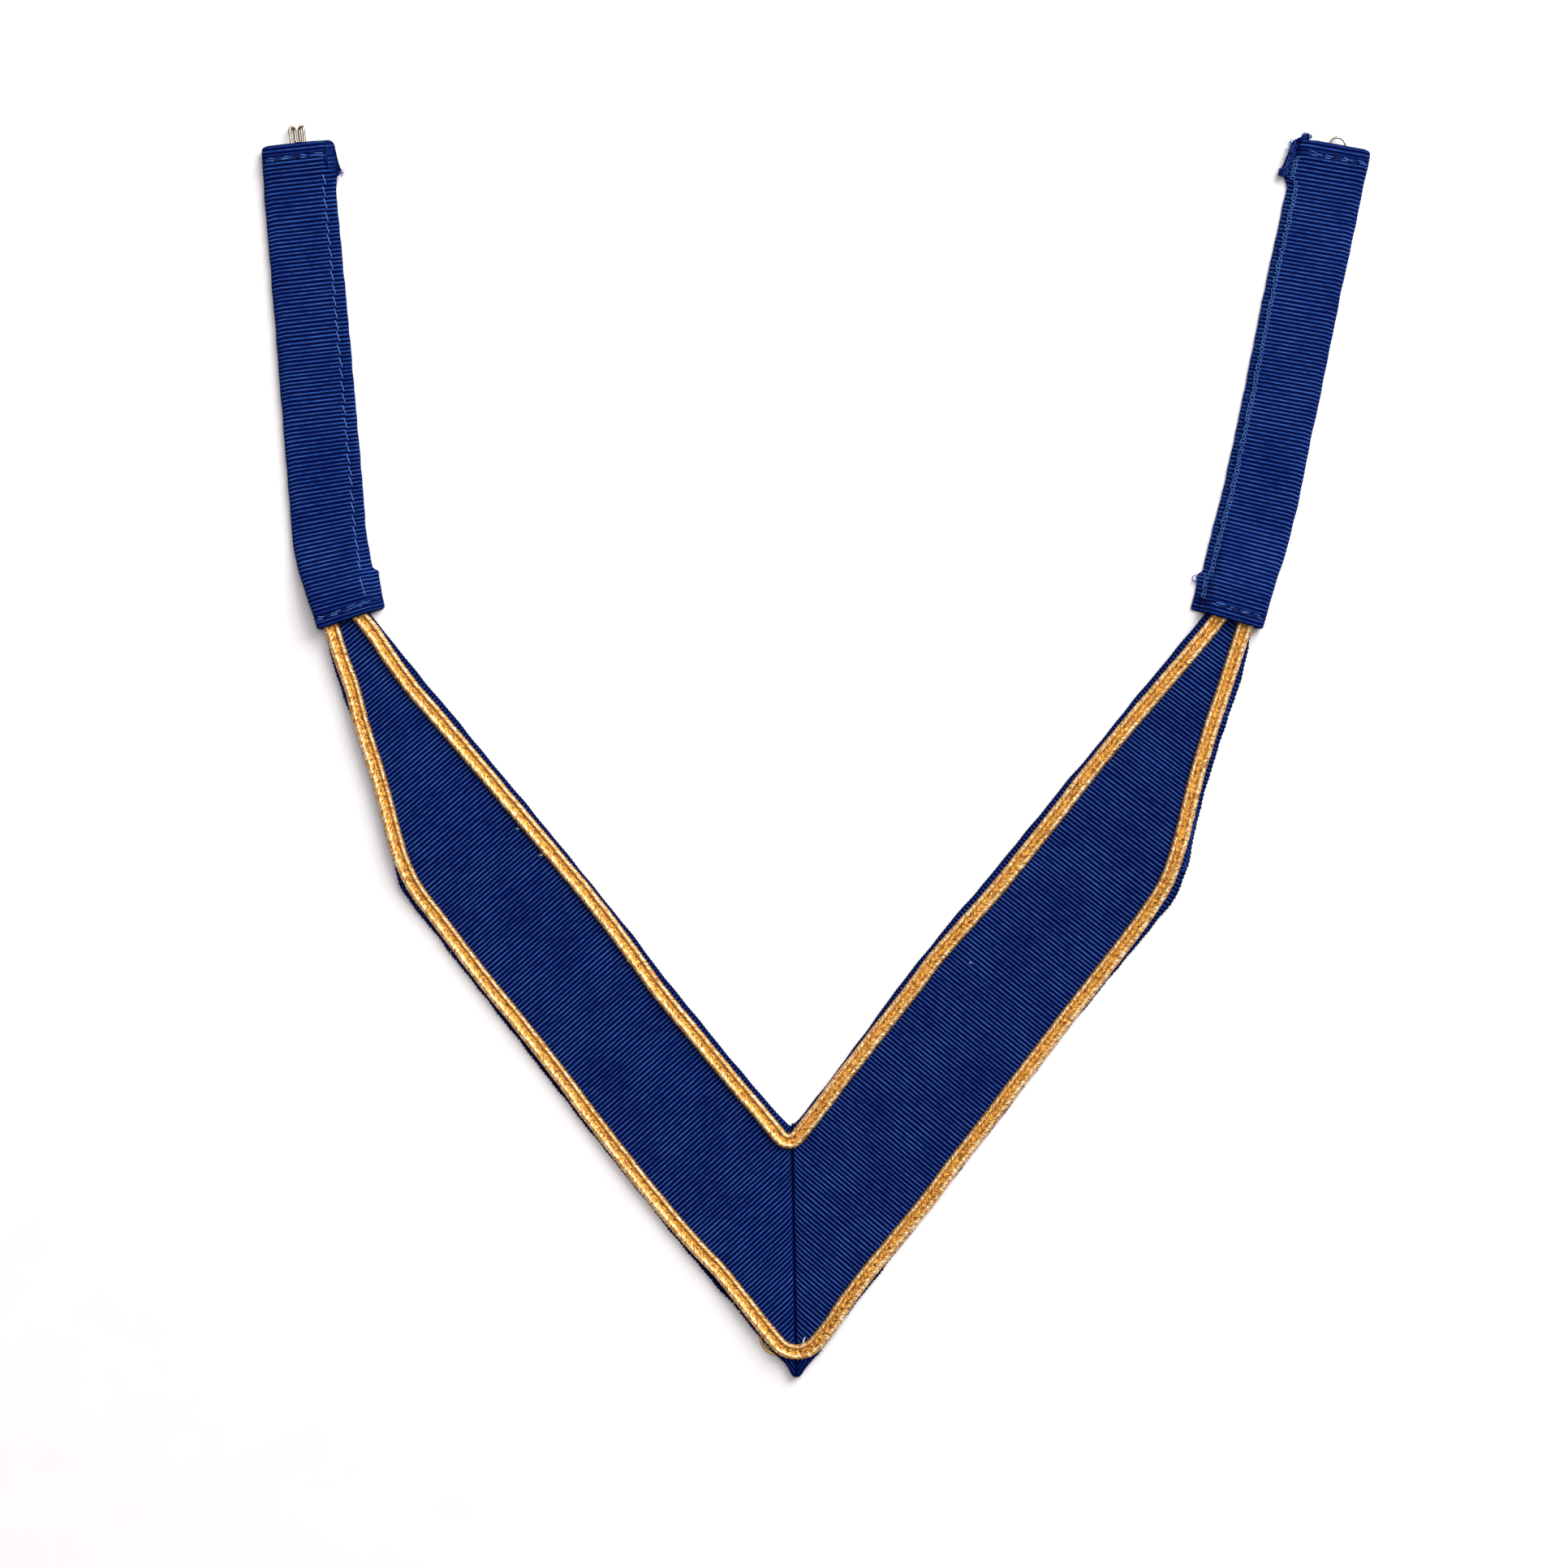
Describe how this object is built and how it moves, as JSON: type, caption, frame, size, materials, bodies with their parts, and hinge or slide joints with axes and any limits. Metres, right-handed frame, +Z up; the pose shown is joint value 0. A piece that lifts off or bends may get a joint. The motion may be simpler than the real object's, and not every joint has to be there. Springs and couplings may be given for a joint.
{
  "type": "masonic collar",
  "caption": "Lodge collar of blue grosgrain ribbon mitred to a point, edged with gold braid, on folded neck straps that close with a hook and eye.",
  "frame": {"origin": "middle of the collar's outline, on the surface it lies on", "axes": "+Y from the point to the neck, +X to the collar's eye end, +Z up from the surface to the side that shows when worn"},
  "size_m": [0.2734, 0.308, 0.0052],
  "materials": {
    "ribbon": "ribbed royal blue grosgrain",
    "braid": "gold metallic thread, soft gloss",
    "fitting_wire": "nickelled wire",
    "ring_wire": "gilt wire"
  },
  "bodies": {
    "root": {"left_front_ribbon": "ribbon", "right_front_ribbon": "ribbon", "inner_braid": "braid", "outer_braid": "braid", "left_strap": "ribbon", "right_strap": "ribbon", "hook": "fitting_wire", "eye": "fitting_wire", "jewel_ring": "ring_wire"}
  },
  "joints": []
}
